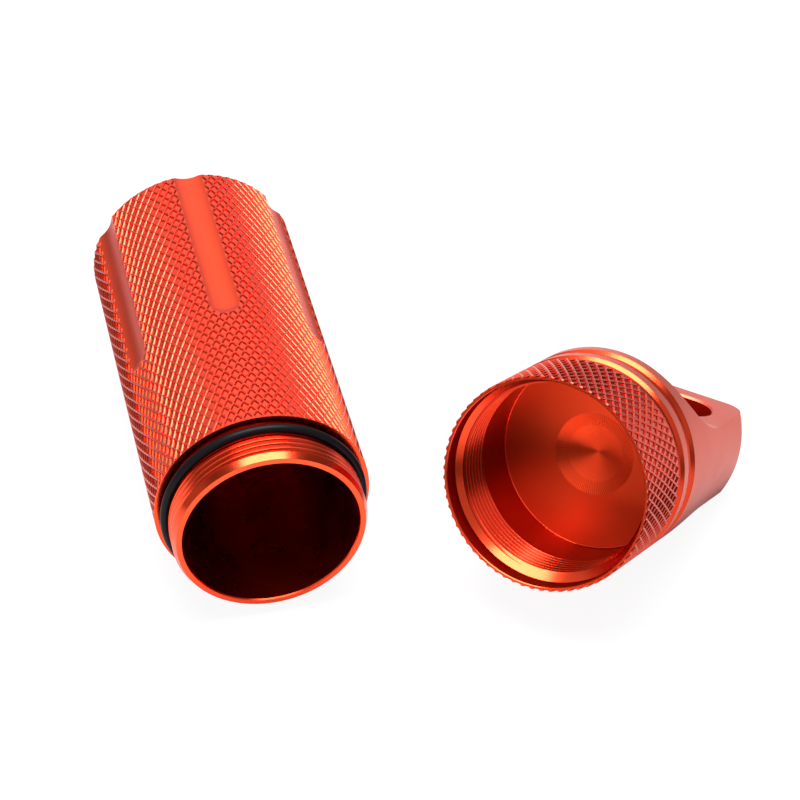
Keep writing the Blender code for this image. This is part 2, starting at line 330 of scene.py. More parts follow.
def shaped(piece, tool, operation):
    """Cut a tool from a piece, join it on, or keep what both share, and use the tool up."""
    modifier = piece.modifiers.new(tool.name, "BOOLEAN")
    modifier.operation = operation
    modifier.solver = "MANIFOLD"
    modifier.object = tool
    view = bpy.context.evaluated_depsgraph_get()
    mesh = bpy.data.meshes.new_from_object(piece.evaluated_get(view))
    piece.modifiers.clear()
    piece.data = mesh
    bpy.data.objects.remove(tool, do_unlink=True)
    return piece


# Node trees

def add_node(tree, kind, sockets=None, **settings):
    """A node whose sockets are given by a value or by the socket that feeds them."""
    node = tree.nodes.new(kind)
    for name, value in settings.items():
        setattr(node, name, value)
    for key, value in (sockets or {}).items():
        if isinstance(value, bpy.types.NodeSocket):
            tree.links.new(value, node.inputs[key])
        else:
            node.inputs[key].default_value = value
    return node


def maths(tree, operation, *values):
    """The result of one step of arithmetic."""
    return add_node(tree, "ShaderNodeMath", dict(enumerate(values)), operation=operation).outputs[0]


def add_sockets(tree, direction, sockets):
    """Name a tree's inputs or outputs: each one's name, its type and perhaps its usual value."""
    for name, kind, *value in sockets:
        socket = tree.interface.new_socket(name, in_out=direction, socket_type="NodeSocket" + kind)
        if value:
            socket.default_value = value[0]


def set_inputs(modifier, values):
    """Give a modifier's inputs their values, each by its socket's identifier."""
    for socket in modifier.node_group.interface.items_tree:
        if socket.in_out == "INPUT" and socket.name in values:
            modifier[socket.identifier] = values[socket.name]


# Knurl

KNURL_SIZES = {"Radius": BODY_RADIUS, "Pits Around": KNURL_PITS_AROUND,
               "Pit Length": KNURL_PIT_LENGTH, "Depth": KNURL_DEPTH,
               "Crown Share": KNURL_CROWN_SHARE, "Bevel Share": KNURL_BEVEL_SHARE,
               "Floor Share": KNURL_FLOOR_SHARE,
               "Crown Height Share": KNURL_CROWN_HEIGHT_SHARE,
               "Wall Height Share": KNURL_WALL_HEIGHT_SHARE, "Skew Share": KNURL_SKEW_SHARE}


def diamond_step(tree, base, top, start, end, floored=False):
    """Four sloping faces of a diamond, from one width to the next and from one height up.

    A floor can close the lower end. The mask of the sloping faces comes with them.
    """
    step = add_node(tree, "GeometryNodeMeshCone",
                    {"Vertices": 4, "Radius Bottom": maths(tree, "MULTIPLY", base, 0.5),
                     "Radius Top": maths(tree, "MULTIPLY", top, 0.5),
                     "Depth": maths(tree, "SUBTRACT", end, start)},
                    fill_type="NGON" if floored else "NONE")
    faces = step.outputs["Mesh"]
    if floored:
        faces = add_node(tree, "GeometryNodeDeleteGeometry",
                         {"Geometry": faces, "Selection": step.outputs["Top"]},
                         domain="FACE").outputs[0]
    lift = add_node(tree, "ShaderNodeCombineXYZ", {"Z": start})
    lifted = add_node(tree, "GeometryNodeTransform",
                      {"Geometry": faces, "Translation": lift.outputs[0]})
    return lifted.outputs[0], step.outputs["Side"]


def knurl_pit(tree, given):
    """One diamond a unit wide, long and deep, and the mask of its pit's walls, which get painted
    shade.

    It holds the ridges' near halves round a flat-floored pit. The skew shifts the pit under its
    bevels, which makes those on one side the steeper ones.
    """
    crown, bevel, floor = (given[each] for each in ("Crown Share", "Bevel Share", "Floor Share"))
    crown_height, wall_height = given["Crown Height Share"], given["Wall Height Share"]
    pit, walls = diamond_step(tree, floor, bevel, 0.0, wall_height, floored=True)
    bevels, _ = diamond_step(tree, bevel, crown, wall_height, crown_height)
    crowns, _ = diamond_step(tree, crown, 1.0, crown_height, 1.0)
    cell = add_node(tree, "GeometryNodeJoinGeometry")
    for part in (pit, bevels, crowns):
        tree.links.new(part, cell.inputs[0])
    place = add_node(tree, "ShaderNodeSeparateXYZ",
                     {"Vector": add_node(tree, "GeometryNodeInputPosition").outputs[0]})
    middle = maths(tree, "MULTIPLY", maths(tree, "ADD", wall_height, crown_height), 0.5)
    skew = maths(tree, "MULTIPLY", given["Skew Share"], -1.0)
    shift = add_node(tree, "ShaderNodeCombineXYZ", {"X": skew, "Y": skew})
    skewed = add_node(tree, "GeometryNodeSetPosition",
                      {"Geometry": cell.outputs[0], "Offset": shift.outputs[0],
                       "Selection": maths(tree, "LESS_THAN", place.outputs["Z"], middle)})
    return skewed.outputs[0], walls


def staggered_places(tree, given, width):
    """The middles of the pits on a flat sheet: a grid, and one set half a pit on."""
    long = given["Pit Length"]
    across = maths(tree, "MULTIPLY", width, maths(tree, "SUBTRACT", given["Pits Around"], 1.0))
    along = maths(tree, "MULTIPLY", long, maths(tree, "SUBTRACT", given["Rows"], 1.0))
    grid = add_node(tree, "GeometryNodeMeshGrid",
                    {"Size X": across, "Size Y": along, "Vertices X": given["Pits Around"],
                     "Vertices Y": given["Rows"]})
    half = add_node(tree, "ShaderNodeCombineXYZ",
                    {"X": maths(tree, "MULTIPLY", width, 0.5),
                     "Y": maths(tree, "MULTIPLY", long, 0.5)})
    staggered = add_node(tree, "GeometryNodeTransform",
                         {"Geometry": grid.outputs["Mesh"], "Translation": half.outputs[0]})
    places = add_node(tree, "GeometryNodeJoinGeometry")
    tree.links.new(grid.outputs["Mesh"], places.inputs[0])
    tree.links.new(staggered.outputs[0], places.inputs[0])
    return places.outputs[0]


def rolled_place(tree, given):
    """Where a point of the flat sheet comes when the sheet is rolled round the piece."""
    place = add_node(tree, "ShaderNodeSeparateXYZ",
                     {"Vector": add_node(tree, "GeometryNodeInputPosition").outputs[0]})
    angle = maths(tree, "DIVIDE", place.outputs["X"], given["Radius"])
    floor_radius = maths(tree, "SUBTRACT", given["Radius"], given["Depth"])
    radius = maths(tree, "ADD", floor_radius, place.outputs["Z"])
    return add_node(tree, "ShaderNodeCombineXYZ",
                    {"X": maths(tree, "MULTIPLY", radius, maths(tree, "COSINE", angle)),
                     "Y": maths(tree, "MULTIPLY", radius, maths(tree, "SINE", angle)),
                     "Z": maths(tree, "ADD", place.outputs["Y"], given["Middle"])}).outputs[0]


def knurl_tree():
    """Diamonds set in staggered rows on a flat sheet, which is then rolled round the piece."""
    tree = bpy.data.node_groups.new("rolled_knurl", "GeometryNodeTree")
    add_sockets(tree, "INPUT", (
        ("Radius", "Float"), ("Pits Around", "Int"), ("Rows", "Int"), ("Pit Length", "Float"),
        ("Depth", "Float"), ("Crown Share", "Float"), ("Bevel Share", "Float"),
        ("Floor Share", "Float"), ("Crown Height Share", "Float"),
        ("Wall Height Share", "Float"), ("Skew Share", "Float"), ("Middle", "Float"),
        ("Material", "Material"), ("Wall Material", "Material")))
    add_sockets(tree, "OUTPUT", (("Geometry", "Geometry"),))
    given = add_node(tree, "NodeGroupInput").outputs
    width = maths(tree, "DIVIDE", maths(tree, "MULTIPLY", given["Radius"], 2.0 * pi),
                  given["Pits Around"])
    pit, walls = knurl_pit(tree, given)
    size = add_node(tree, "ShaderNodeCombineXYZ",
                    {"X": width, "Y": given["Pit Length"], "Z": given["Depth"]})
    pits = add_node(tree, "GeometryNodeInstanceOnPoints",
                    {"Points": staggered_places(tree, given, width), "Instance": pit,
                     "Scale": size.outputs[0]})
    sheet = add_node(tree, "GeometryNodeRealizeInstances", {"Geometry": pits.outputs[0]})
    rolled = add_node(tree, "GeometryNodeSetPosition",
                      {"Geometry": sheet.outputs[0], "Position": rolled_place(tree, given)})
    joined = add_node(tree, "GeometryNodeMergeByDistance",
                      {"Geometry": rolled.outputs[0], "Distance": MERGE_DISTANCE})
    metal = add_node(tree, "GeometryNodeSetMaterial",
                     {"Geometry": joined.outputs[0], "Material": given["Material"]})
    # The pits' walls get the material of painted shade
    walled = add_node(tree, "GeometryNodeSetMaterial",
                      {"Geometry": metal.outputs[0], "Selection": walls,
                       "Material": given["Wall Material"]})
    add_node(tree, "NodeGroupOutput", {"Geometry": walled.outputs[0]})
    return tree


def knurled_rod(name, tree, start, end):
    """A closed rod with the rolled knurl all over its round side."""
    item = bpy.data.objects.new(name, bpy.data.meshes.new(name))
    bpy.context.scene.collection.objects.link(item)
    modifier = item.modifiers.new("knurl", "NODES")
    modifier.node_group = tree
    rows = ceil((end - start) / KNURL_PIT_LENGTH) + KNURL_SPARE_ROWS
    set_inputs(modifier, {**KNURL_SIZES, "Rows": rows, "Middle": (start + end) / 2.0,
                          "Material": finishes[KNURL], "Wall Material": finishes[SHADED_WALL]})
    view = bpy.context.evaluated_depsgraph_get()
    mesh = bpy.data.meshes.new_from_object(item.evaluated_get(view))
    item.modifiers.clear()
    mesh_data = bmesh.new()
    mesh_data.from_mesh(mesh)
    for height, side in ((start, -1.0), (end, 1.0)):
        bmesh.ops.bisect_plane(mesh_data, geom=mesh_data.verts[:] + mesh_data.edges[:]
                               + mesh_data.faces[:], plane_co=(0.0, 0.0, height),
                               plane_no=(0.0, 0.0, side), clear_outer=True)
    rim = [edge for edge in mesh_data.edges if edge.is_boundary]
    bmesh.ops.holes_fill(mesh_data, edges=rim, sides=0)
    bmesh.ops.recalc_face_normals(mesh_data, faces=mesh_data.faces)
    mesh_data.to_mesh(mesh)
    mesh_data.free()
    slots = [finishes.index(material) if material else KNURL for material in mesh.materials]
    indices = [slots[face.material_index] for face in mesh.polygons]
    mesh.materials.clear()
    for finish in finishes:
        mesh.materials.append(finish)
    mesh.polygons.foreach_set("material_index", indices)
    item.data = mesh
    return item


# Tube

def flute_cutters():
    """Six ball-ended milling cuts that start past the tube's closed end."""
    centre_radius = BODY_RADIUS - FLUTE_DEPTH + FLUTE_CUTTER_RADIUS
    tip_reach = (FLUTE_CUTTER_RADIUS**2 - (FLUTE_CUTTER_RADIUS - FLUTE_DEPTH)**2)**0.5
    ball_height = -TUBE_BODY_LENGTH + FLUTE_LENGTH - tip_reach
    sections = [(FLUTE_CUTTER_RADIUS, -TUBE_BODY_LENGTH - OVERRUN)]
    for ring in range(FLUTE_RINGS):
        rise = pi / 2.0 * ring / FLUTE_RINGS
        sections.append((FLUTE_CUTTER_RADIUS * cos(rise),
                         ball_height + FLUTE_CUTTER_RADIUS * sin(rise)))
    cutters = []
    for flute in range(FLUTE_COUNT):
        turn = Matrix.Rotation(2.0 * pi * flute / FLUTE_COUNT, 3, "Z")
        rings = []
        for radius, height in sections:
            ring = []
            for step in range(FLUTE_SEGMENTS):
                angle = 2.0 * pi * step / FLUTE_SEGMENTS
                point = Vector((centre_radius + radius * cos(angle), radius * sin(angle), height))
                ring.append(turn @ point)
            rings.append(ring)
        cutters.append(lofted(f"flute_{flute}", rings, FLUTE))
    return cutters


def build_neck():
    """The threaded neck with its lead-in collar and its gland, on a foot inside the body."""
    rod = threaded_rod("neck", thread_section(NECK_RADIUS, NECK_RADIUS - THREAD_DEPTH),
                       -THREAD_PITCH - NECK_THREAD_SHIFT, NECK_LENGTH + THREAD_PITCH)
    lead_in = NECK_LENGTH - NECK_CHAMFER_LENGTH
    blank = [(0.0, -OVERRUN), (GLAND_RADIUS, -OVERRUN), (GLAND_RADIUS, GLAND_LENGTH),
             (NECK_RADIUS - NECK_START_CHAMFER, GLAND_LENGTH),
             (NECK_RADIUS + OVERRUN, GLAND_LENGTH + NECK_START_CHAMFER + OVERRUN),
             (NECK_RADIUS + OVERRUN, lead_in), (0.0, lead_in)]
    shaped(rod, turned("neck_blank", eased(blank)), "INTERSECT")
    core_radius = NECK_RADIUS - THREAD_DEPTH - EDGE_RADIUS
    collar = [(0.0, GLAND_LENGTH), (core_radius, GLAND_LENGTH),
              (core_radius, lead_in - EDGE_RADIUS), (NECK_RADIUS, lead_in - EDGE_RADIUS),
              (NECK_RADIUS, lead_in), (NECK_RADIUS - NECK_CHAMFER_DEPTH, NECK_LENGTH),
              (0.0, NECK_LENGTH)]
    shaped(rod, turned("neck_collar", eased(collar)), "UNION")
    foot = [(0.0, -OVERRUN), (GLAND_RADIUS, -OVERRUN), (GLAND_RADIUS, GLAND_LENGTH),
            (0.0, GLAND_LENGTH)]
    return shaped(rod, turned("neck_foot", foot), "UNION")


def bore_cutter():
    """Bores the tube from its neck's end, with a broken edge there and a round inner corner."""
    floor = -TUBE_BODY_LENGTH + TUBE_FLOOR_THICKNESS
    corner = (TUBE_BORE_RADIUS - TUBE_BORE_CORNER_RADIUS, floor + TUBE_BORE_CORNER_RADIUS)
    profile = [(0.0, NECK_LENGTH + OVERRUN),
               (TUBE_BORE_RADIUS + BORE_RIM_DEPTH * (1.0 + OVERRUN / BORE_RIM_LENGTH),
                NECK_LENGTH + OVERRUN),
               (TUBE_BORE_RADIUS, NECK_LENGTH - BORE_RIM_LENGTH)]
    profile += arc(corner, TUBE_BORE_CORNER_RADIUS, 0.0, -pi / 2.0, CORNER_SEGMENTS)
    cutter = turned("bore", profile + [(0.0, floor)], finish=BORE)
    return refinished(cutter, TURNED, NECK_LENGTH - BORE_RIM_LENGTH, NECK_LENGTH + 2.0 * OVERRUN)


def build_tube(knurl):
    """Knurled body with its flutes, threaded neck, gland and bore."""
    bottom = -TUBE_BODY_LENGTH
    tube = knurled_rod("capsule_tube_machined", knurl, bottom - OVERRUN, OVERRUN)
    blank = [(0.0, bottom), (BODY_RADIUS - TUBE_END_CHAMFER, bottom),
             (BODY_RADIUS + OVERRUN, bottom + TUBE_END_CHAMFER + OVERRUN),
             (BODY_RADIUS + OVERRUN, -SHOULDER_CHAMFER - OVERRUN),
             (BODY_RADIUS - SHOULDER_CHAMFER, 0.0), (0.0, 0.0)]
    shaped(tube, turned("blank", eased(blank)), "INTERSECT")
    rim_radius = BODY_RADIUS - SHOULDER_RIM_DEPTH
    rim = [(0.0, -SHOULDER_RIM_LENGTH), (rim_radius, -SHOULDER_RIM_LENGTH),
           (rim_radius, -SHOULDER_CHAMFER), (rim_radius - SHOULDER_CHAMFER, 0.0), (0.0, 0.0)]
    shaped(tube, turned("shoulder_rim", rim), "UNION")
    for cutter in flute_cutters():
        shaped(tube, cutter, "DIFFERENCE")
    shaped(tube, build_neck(), "UNION")
    return shaped(tube, bore_cutter(), "DIFFERENCE")


def build_seal():
    """The round rubber section of the seal ring, at the foot of the neck."""
    middle = (SEAL_INNER_RADIUS + SEAL_SECTION_RADIUS, SEAL_SHOULDER_GAP + SEAL_SECTION_RADIUS)
    section = arc(middle, SEAL_SECTION_RADIUS, 0.0, 2.0 * pi, SEAL_SEGMENTS)[:-1]
    return turned("seal_ring_rubber", section, closed=True, finish=RUBBER)


# Cap

def cap_blank():
    """The cap's turned outside from its grooves back to its lug's end."""
    floor_radius = BODY_RADIUS - CAP_GROOVE_DEPTH
    edge = (BODY_RADIUS - CAP_END_EDGE_RADIUS, CAP_LENGTH - CAP_END_EDGE_RADIUS)
    profile = [(0.0, CAP_LENGTH)]
    profile += arc(edge, CAP_END_EDGE_RADIUS, pi / 2.0, 0.0, CORNER_SEGMENTS)
    for start, width in sorted(zip(CAP_GROOVE_STARTS, CAP_GROOVE_WIDTHS), reverse=True):
        profile += [(BODY_RADIUS, start + width),
                    (floor_radius, start + width * CAP_GROOVE_FLOOR_SHARE),
                    (floor_radius, start + width * CAP_GROOVE_NEAR_SHARE),
                    (BODY_RADIUS, start)]
    knurl_end = CAP_GROOVE_STARTS[0]
    profile = profile[:-1] + [(floor_radius, knurl_end - OVERRUN), (0.0, knurl_end - OVERRUN)]
    return profile


def lug_side_cutter(side):
    """Mills one flat of the lug, with a round root up to the cap's full diameter."""
    reach = LUG_HALF + LUG_ROOT_RADIUS + OVERRUN
    flat_start = LUG_START + LUG_ROOT_RADIUS
    outline = [(LUG_HALF, CAP_LENGTH + OVERRUN)]
    for step in range(ROOT_SEGMENTS + 1):
        angle = pi / 2.0 * step / ROOT_SEGMENTS
        outline.append((LUG_HALF + LUG_ROOT_RADIUS * (1.0 - cos(angle)),
                        flat_start - LUG_ROOT_RADIUS * sin(angle)))
    outline += [(reach, LUG_START), (reach, CAP_LENGTH + OVERRUN)]
    return lofted("lug_side", [[(side * out, across, height) for out, height in outline]
                               for across in (-reach, reach)])


def slot_cutter():
    """The slot through the lug, with a chamfer round each of its mouths."""
    radius = SLOT_WIDTH / 2.0
    centre = SLOT_LENGTH / 2.0 - radius
    outer = LUG_HALF + OVERRUN
    inner = LUG_HALF - SLOT_CHAMFER
    rings = []
    for level, growth in ((-outer, SLOT_CHAMFER + OVERRUN), (-inner, 0.0), (inner, 0.0),
                          (outer, SLOT_CHAMFER + OVERRUN)):
        outline = arc((centre, SLOT_MIDDLE), radius + growth, -pi / 2.0, pi / 2.0,
                      SLOT_END_SEGMENTS)
        outline += arc((-centre, SLOT_MIDDLE), radius + growth, pi / 2.0, 1.5 * pi,
                       SLOT_END_SEGMENTS)
        rings.append([(level, side, height) for side, height in outline])
    slot = lofted("slot", rings, SLOT)
    for face in slot.data.polygons:
        if abs(face.center.x) > inner:
            face.material_index = SATIN
    return slot


def inside_cutter():
    """Everything the cap holds: recess, thread, relief and floor with its drilled cone."""
    rod = threaded_rod("inside", thread_section(CAP_THREAD_ROOT_RADIUS, CAP_THREAD_RADIUS),
                       CAP_RECESS_DEPTH - 2.0 * THREAD_PITCH, CAP_THREAD_END + THREAD_PITCH)
    limits = [(0.0, CAP_RECESS_DEPTH - THREAD_PITCH),
              (BODY_RADIUS, CAP_RECESS_DEPTH - THREAD_PITCH),
              (BODY_RADIUS, CAP_THREAD_END), (0.0, CAP_THREAD_END)]
    shaped(rod, turned("thread_limits", limits), "INTERSECT")
    recess_slope = CAP_RECESS_RADIUS - CAP_THREAD_RADIUS
    recess = [(0.0, -OVERRUN), (CAP_RECESS_RADIUS + CAP_RIM_CHAMFER + OVERRUN, -OVERRUN),
              (CAP_RECESS_RADIUS, CAP_RIM_CHAMFER), (CAP_RECESS_RADIUS, CAP_RECESS_DEPTH),
              (CAP_THREAD_RADIUS, CAP_RECESS_DEPTH + recess_slope),
              (0.0, CAP_RECESS_DEPTH + recess_slope)]
    mouth = turned("recess", eased(recess), finish=BORE)
    refinished(mouth, TURNED, -2.0 * OVERRUN, CAP_RIM_CHAMFER)
    refinished(mouth, TURNED, CAP_RECESS_DEPTH, CAP_RECESS_DEPTH + recess_slope)
    shaped(rod, mouth, "UNION")
    corner = (CAP_RELIEF_RADIUS - CAP_INSIDE_CORNER, CAP_INSIDE_DEPTH - CAP_INSIDE_CORNER)
    relief = [(0.0, CAP_THREAD_END - EDGE_RADIUS),
              (CAP_RELIEF_RADIUS, CAP_THREAD_END - EDGE_RADIUS)]
    relief += arc(corner, CAP_INSIDE_CORNER, 0.0, pi / 2.0, EDGE_STEPS)
    relief += [(CAP_CONE_RADIUS, CAP_INSIDE_DEPTH), (0.0, CAP_INSIDE_DEPTH + CAP_CONE_DEPTH)]
    drilled = turned("relief", eased(relief), finish=BORE)
    refinished(drilled, TURNED, CAP_INSIDE_DEPTH - CAP_INSIDE_CORNER, CAP_LENGTH)
    refinished(drilled, CONE, CAP_INSIDE_DEPTH + MERGE_DISTANCE, CAP_LENGTH)
    refinished(drilled, FACED, CAP_INSIDE_DEPTH - MERGE_DISTANCE, CAP_INSIDE_DEPTH + MERGE_DISTANCE)
    return shaped(rod, drilled, "UNION")


def build_cap(knurl):
    """Knurled grip, two grooves with a collar between, slotted lug and threaded inside."""
    cap = knurled_rod("screw_cap_machined", knurl, -OVERRUN, CAP_GROOVE_STARTS[0] + OVERRUN)
    near_wall = CAP_GROOVE_WIDTHS[0] * CAP_GROOVE_NEAR_SHARE
    knurl_end = CAP_GROOVE_STARTS[0]
    floor_radius = BODY_RADIUS - CAP_GROOVE_DEPTH
    grip = [(0.0, 0.0), (BODY_RADIUS - CAP_RIM_CHAMFER, 0.0),
            (BODY_RADIUS + OVERRUN, CAP_RIM_CHAMFER + OVERRUN),
            (BODY_RADIUS + OVERRUN, knurl_end), (BODY_RADIUS, knurl_end),
            (floor_radius, knurl_end + near_wall), (0.0, knurl_end + near_wall)]
    shaped(cap, turned("grip", eased(grip)), "INTERSECT")
    rear = turned("rear", eased(cap_blank()), finish=SATIN)
    for start, width in zip(CAP_GROOVE_STARTS, CAP_GROOVE_WIDTHS):
        refinished(rear, TURNED, start, start + width)
    shaped(rear, lug_side_cutter(1.0), "DIFFERENCE")
    shaped(rear, lug_side_cutter(-1.0), "DIFFERENCE")
    shaped(rear, slot_cutter(), "DIFFERENCE")
    shaped(cap, rear, "UNION")
    return shaped(cap, inside_cutter(), "DIFFERENCE")


# Finishes

ORANGE = (0.85, 0.062, 0.016)
KNURL_ORANGE = (0.82, 0.055, 0.017)
SATIN_ORANGE = (0.74, 0.068, 0.020)
# Painted shade at the neck thread's roots, which also tints its random patches
THREAD_TONE_AND_ROOT_SHADE_RED = (0.62, 0.03, 0.007)
# Painted shade in the tube's bore: a darker red than the outside
BORE_SHADE_RED = (0.60, 0.03, 0.006)
# Painted shade on the walls of the knurl's pits
WALL_SHADE_RED = (0.50, 0.022, 0.006)
# Painted shade on the cap's recess and relief walls inside
RELIEF_SHADE_RED = (0.36, 0.014, 0.002)
# Painted shade inside the lug's slot
SLOT_SHADE_RED = (0.32, 0.007, 0.001)
# Painted shade at the cap thread's roots, and the darker tint of random patches and chatter marks
DARK_TONE_AND_SHADE_RED = (0.36, 0.012, 0.002)
RUBBER_BLACK = (0.004, 0.004, 0.005)
RUBBER_ROUGHNESS = 0.35
RUBBER_SPECULAR = 0.08
WHITE = (1.0, 1.0, 1.0, 1.0)

# How far under its crests each thread is still clear of painted shade, and from where its root is
# in full painted shade
NECK_THREAD_UNSHADED = 0.12 * MM
NECK_THREAD_FULL_SHADE = THREAD_DEPTH
CAP_THREAD_UNSHADED = 0.02 * MM
CAP_THREAD_FULL_SHADE = 0.12 * MM

# The relief is how deep the grain and lines are, and the look is what the surface group is given
# The dark colour is the painted shade of thread roots and the darker tint of random patches and
# chatter marks
Finish = namedtuple("Finish", "colour roughness relief look coat coat_roughness deep_colour "
                              "anisotropy", defaults=(0.0, 0.2, DARK_TONE_AND_SHADE_RED, 0.0))

KNURL_FINISH = Finish(KNURL_ORANGE, 0.25, 0.006 * MM, {"Grain": 0.8, "Lines": 0.0},
                      coat=0.4, coat_roughness=0.25)
# Painted shade on the walls of the knurl's pits
WALL_SHADE_FINISH = Finish(WALL_SHADE_RED, 0.18, 0.004 * MM,
                     {"Grain Size": 0.45 * MM, "Grain": 0.8, "Lines": 0.0})
SATIN_FINISH = Finish(SATIN_ORANGE, 0.40, 0.004 * MM, {"Grain": 0.8, "Lines": 0.2},
                      coat=0.7, coat_roughness=0.4)
FLUTE_FINISH = Finish(ORANGE, 0.32, 0.003 * MM, {"Grain": 0.6, "Lines": 0.0},
                      coat=0.2, coat_roughness=0.3)
TURNED_FINISH = Finish(ORANGE, 0.22, 0.004 * MM, {"Grain": 0.3, "Lines": 0.7}, coat=0.15)
NECK_THREAD_FINISH = Finish(ORANGE, 0.22, 0.003 * MM,
                            {"Grain": 0.3, "Lines": 0.3,
                             "Deep Radius": NECK_RADIUS - NECK_THREAD_FULL_SHADE,
                             "Bright Radius": NECK_RADIUS - NECK_THREAD_UNSHADED},
                            coat=0.15, deep_colour=THREAD_TONE_AND_ROOT_SHADE_RED)
CAP_THREAD_FINISH = Finish(ORANGE, 0.22, 0.003 * MM,
                           {"Grain": 0.3, "Lines": 0.3,
                            "Deep Radius": CAP_THREAD_RADIUS + CAP_THREAD_FULL_SHADE,
                            "Bright Radius": CAP_THREAD_RADIUS + CAP_THREAD_UNSHADED},
                           coat=0.15)
# Painted shade in the tube's bore
BORE_SHADE_FINISH = Finish(BORE_SHADE_RED, 0.28, 0.004 * MM, {"Grain": 0.3, "Lines": 0.7})
# Painted shade on the walls inside the cap
RELIEF_SHADE_FINISH = Finish(RELIEF_SHADE_RED, 0.36, 0.004 * MM, {"Grain": 0.3, "Lines": 0.7})
CONE_FINISH = Finish(ORANGE, 0.28, 0.008 * MM,
                     {"Grain": 0.1, "Lines": 0.7, "Line Spacing": 0.4 * MM, "Chatter": 0.8},
                     anisotropy=0.95)
# Painted shade inside the lug's slot
SLOT_SHADE_FINISH = Finish(SLOT_SHADE_RED, 0.6, 0.004 * MM, {"Grain": 0.3, "Lines": 0.0})
FACED_FINISH = Finish(ORANGE, 0.36, 0.004 * MM, {"Grain": 0.6, "Lines": 0.5}, anisotropy=0.75)

# What a surface has unless its look says otherwise: both radii lie below any real one, so that no
# surface gets painted shade
GRAIN_SIZE = 0.3 * MM
FINE_DETAIL = 2.0
LINE_SPACING = 0.12 * MM
PATCH_SIZE = 6.0 * MM
PATCH_DETAIL = 3.0
NO_FULL_SHADE_RADIUS = -2.0 * MM
NO_UNSHADED_RADIUS = -1.0 * MM

# Patches in which the dye is a little deeper and the metal a little rougher
PATCH_LOW = 0.3
PATCH_HIGH = 0.7
PATCH_TINT = 0.06
PATCH_SMOOTHER = 0.9
PATCH_ROUGHER = 1.1

# Chatter: slanted marks round the outer part of the cone
CHATTER_MARKS = 120
CHATTER_START = 4.5 * MM
CHATTER_FADE = 0.3 * MM
CHATTER_SLANT = 3.0 / MM
CHATTER_HEIGHT_SHARE = 0.3
CHATTER_TINT = 0.8


def surface_group():
    """Grain, turned lines, chatter and patches of a machined surface, along its thread's axis, and
    the painted shade of its thread roots.
    """
    tree = bpy.data.node_groups.new("machined_surface", "ShaderNodeTree")
    add_sockets(tree, "INPUT", (
        ("Place", "Vector"), ("Grain Size", "Float", GRAIN_SIZE), ("Grain", "Float"),
        ("Line Spacing", "Float", LINE_SPACING), ("Lines", "Float"),
        ("Patch Size", "Float", PATCH_SIZE), ("Chatter", "Float"),
        ("Deep Radius", "Float", NO_FULL_SHADE_RADIUS), ("Bright Radius", "Float", NO_UNSHADED_RADIUS)))
    add_sockets(tree, "OUTPUT", (("Height", "Float"), ("Tone", "Float"), ("Depth", "Float"),
                                 ("Marks", "Float")))
    given = add_node(tree, "NodeGroupInput").outputs
    axes = add_node(tree, "ShaderNodeSeparateXYZ", {"Vector": given["Place"]})
    flat = add_node(tree, "ShaderNodeCombineXYZ", {"X": axes.outputs["X"], "Y": axes.outputs["Y"]})
    radius = add_node(tree, "ShaderNodeVectorMath", {0: flat.outputs[0]},
                      operation="LENGTH").outputs["Value"]
    angle = maths(tree, "ARCTAN2", axes.outputs["Y"], axes.outputs["X"])
    grain = add_node(tree, "ShaderNodeTexNoise",
                     {"Vector": given["Place"],
                      "Scale": maths(tree, "DIVIDE", 1.0, given["Grain Size"]),
                      "Detail": FINE_DETAIL})
    along = maths(tree, "DIVIDE", maths(tree, "ADD", axes.outputs["Z"], radius),
                  given["Line Spacing"])
    lines = add_node(tree, "ShaderNodeTexNoise",
                     {"W": along, "Scale": 1.0, "Detail": FINE_DETAIL}, noise_dimensions="1D")
    turned_height = maths(tree, "MULTIPLY_ADD", lines.outputs[0], given["Lines"],
                          maths(tree, "MULTIPLY", grain.outputs[0], given["Grain"]))
    sweep = maths(tree, "MULTIPLY_ADD", radius, CHATTER_SLANT,
                  maths(tree, "MULTIPLY", angle, float(CHATTER_MARKS)))
    marked = add_node(tree, "ShaderNodeMapRange",
                      {"Value": radius, "From Min": CHATTER_START,
                       "From Max": CHATTER_START + CHATTER_FADE, "To Min": 0.0,
                       "To Max": given["Chatter"]}).outputs[0]
    marks = maths(tree, "MULTIPLY", maths(tree, "SINE", sweep), marked)
    height = maths(tree, "MULTIPLY_ADD", marks, CHATTER_HEIGHT_SHARE, turned_height)
    patches = add_node(tree, "ShaderNodeTexNoise",
                       {"Vector": given["Place"],
                        "Scale": maths(tree, "DIVIDE", 1.0, given["Patch Size"]),
                        "Detail": PATCH_DETAIL})
    # Painted shade of a thread's roots: 1 where the surface is clear of it, falling to 0 at the
    # radius of full shade
    depth = add_node(tree, "ShaderNodeMapRange",
                     {"Value": radius, "From Min": given["Deep Radius"],
                      "From Max": given["Bright Radius"]}).outputs[0]
    add_node(tree, "NodeGroupOutput", {"Height": height, "Tone": patches.outputs[0],
                                       "Depth": depth, "Marks": marks})
    return tree


